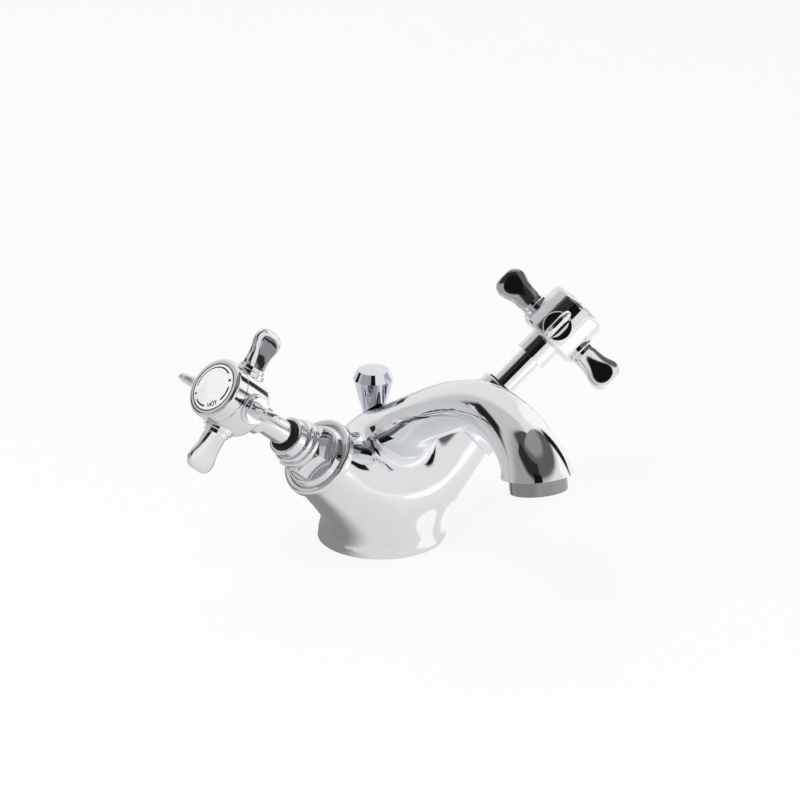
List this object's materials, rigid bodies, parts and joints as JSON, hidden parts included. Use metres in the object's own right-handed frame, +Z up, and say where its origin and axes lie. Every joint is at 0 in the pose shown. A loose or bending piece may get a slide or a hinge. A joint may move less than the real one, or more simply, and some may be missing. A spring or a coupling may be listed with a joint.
{
  "type": "basin mixer tap",
  "caption": "Traditional monobloc basin mixer tap in polished chrome: curved spout with aerator, raised arms with cross-head handles and white indices, and a pop-up waste lift knob.",
  "frame": {"origin": "centre of the round foot, on the deck face", "axes": "+Z up from the deck, the spout points along -Y, the hot handle is at -X"},
  "size_m": [0.1991, 0.1642, 0.1094],
  "materials": {
    "chrome": "polished",
    "rubber": "matte",
    "porcelain": "glossy",
    "white_ceramic": "lapped",
    "grey_plastic": "matte",
    "brass": "machined",
    "steel": "satin"
  },
  "bodies": {
    "tap_body": {"body_casting": "chrome", "base_gasket": "rubber", "aerator_housing": "chrome", "aerator_insert": "grey_plastic", "aerator_washer": "rubber", "lift_rod_bush": "brass", "hot_bonnet_flange": "chrome", "hot_headwork": "chrome", "hot_gland_nut": "chrome", "hot_gland_seal": "rubber", "hot_seat_seal": "rubber", "hot_fixed_disc": "white_ceramic", "cold_bonnet_flange": "chrome", "cold_headwork": "chrome", "cold_gland_nut": "chrome", "cold_gland_seal": "rubber", "cold_seat_seal": "rubber", "cold_fixed_disc": "white_ceramic"},
    "hot_handle": {"hot_moving_disc": "white_ceramic", "hot_spindle": "chrome", "hot_spindle_ring": "rubber", "hot_handle_neck": "chrome", "hot_handle_hub": "chrome", "hot_spoke_1": "chrome", "hot_spoke_2": "chrome", "hot_spoke_3": "chrome", "hot_spoke_4": "chrome", "hot_handle_cap": "chrome", "hot_index": "porcelain", "hot_handle_screw": "steel"},
    "cold_handle": {"cold_moving_disc": "white_ceramic", "cold_spindle": "chrome", "cold_spindle_ring": "rubber", "cold_handle_neck": "chrome", "cold_handle_hub": "chrome", "cold_spoke_1": "chrome", "cold_spoke_2": "chrome", "cold_spoke_3": "chrome", "cold_spoke_4": "chrome", "cold_handle_cap": "chrome", "cold_index": "porcelain", "cold_handle_screw": "steel"},
    "lift": {"lift_rod": "chrome", "lift_knob": "chrome"}
  },
  "joints": [
    {"name": "hot_turn", "type": "hinge", "parent": "tap_body", "child": "hot_handle", "pos_m": [0, -0.0036, 0.0152], "axis": [-0.753, -0.1058, 0.6494], "range_deg": [0, 90]},
    {"name": "cold_turn", "type": "hinge", "parent": "tap_body", "child": "cold_handle", "pos_m": [0, -0.0036, 0.0152], "axis": [0.753, -0.1058, 0.6494], "range_deg": [-90, 0]},
    {"name": "lift_slide", "type": "slide", "parent": "tap_body", "child": "lift", "axis": [0, 0, 1], "range_m": [0, 0.028]}
  ]
}
